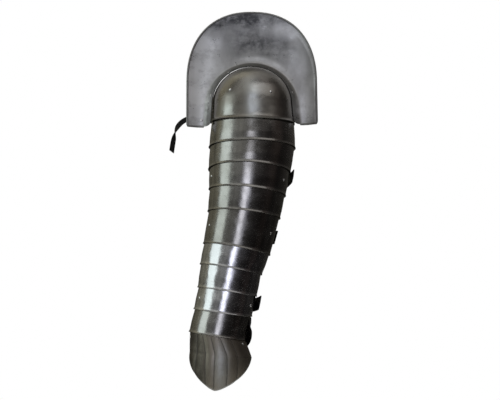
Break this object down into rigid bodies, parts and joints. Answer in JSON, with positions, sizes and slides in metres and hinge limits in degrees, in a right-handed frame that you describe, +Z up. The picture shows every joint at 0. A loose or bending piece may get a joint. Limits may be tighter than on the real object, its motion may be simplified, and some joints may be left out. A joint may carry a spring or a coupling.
{
  "type": "laminated steel arm guard with shoulder shield",
  "caption": "Armour for a left arm: overlapping steel lames from a domed shoulder cap with an arched shield plate down to a pointed hand plate, closed behind by buckled straps.",
  "frame": {"origin": "inside crown of the shoulder cap, where the guard bears on the wearer's shoulder", "axes": "+Z up along the upper arm, -Y out of the arm's outer side, +X towards the back of the arm"},
  "size_m": [0.2857, 0.1423, 0.7236],
  "materials": {
    "plate_steel": "polished dark steel plate",
    "satin_steel": "satin steel plate",
    "bright_steel": "bright steel rivets and buckles",
    "black_leather": "black strap leather"
  },
  "bodies": {
    "root": {"shoulder_flange": "plate_steel", "shoulder_cap": "plate_steel", "arm_lame_1": "plate_steel", "arm_lame_2": "plate_steel", "arm_lame_3": "plate_steel", "arm_lame_4": "plate_steel", "arm_lame_5": "plate_steel", "arm_lame_6": "plate_steel", "arm_lame_7": "plate_steel", "arm_lame_8": "plate_steel", "arm_lame_9": "plate_steel", "hand_plate": "satin_steel", "cap_rivet_left": "bright_steel", "cap_rivet_right": "bright_steel", "collar_rivet_left": "bright_steel", "collar_rivet_right": "bright_steel", "collar_rivet_upper_left": "bright_steel", "tie_rivet": "bright_steel", "lame_3_rivet_left": "bright_steel", "lame_3_rivet_right": "bright_steel", "lame_5_rivet_left": "bright_steel", "lame_5_rivet_right": "bright_steel", "lame_8_rivet_left": "bright_steel", "lame_8_rivet_right": "bright_steel", "hand_rivet_left": "bright_steel", "hand_rivet_right": "bright_steel", "lame_3_strap_buckle": "bright_steel", "lame_5_strap_buckle": "bright_steel", "lame_8_strap_buckle": "bright_steel", "hand_strap_buckle": "bright_steel", "lame_3_strap_prong": "bright_steel", "lame_5_strap_prong": "bright_steel", "lame_8_strap_prong": "bright_steel", "hand_strap_prong": "bright_steel", "inner_leather_left": "black_leather", "inner_leather_right": "black_leather", "lame_3_strap_billet": "black_leather", "lame_5_strap_billet": "black_leather", "lame_8_strap_billet": "black_leather", "hand_strap_billet": "black_leather", "lame_3_strap_chape": "black_leather", "lame_5_strap_chape": "black_leather", "lame_8_strap_chape": "black_leather", "hand_strap_chape": "black_leather", "shoulder_tie": "black_leather"}
  },
  "joints": []
}
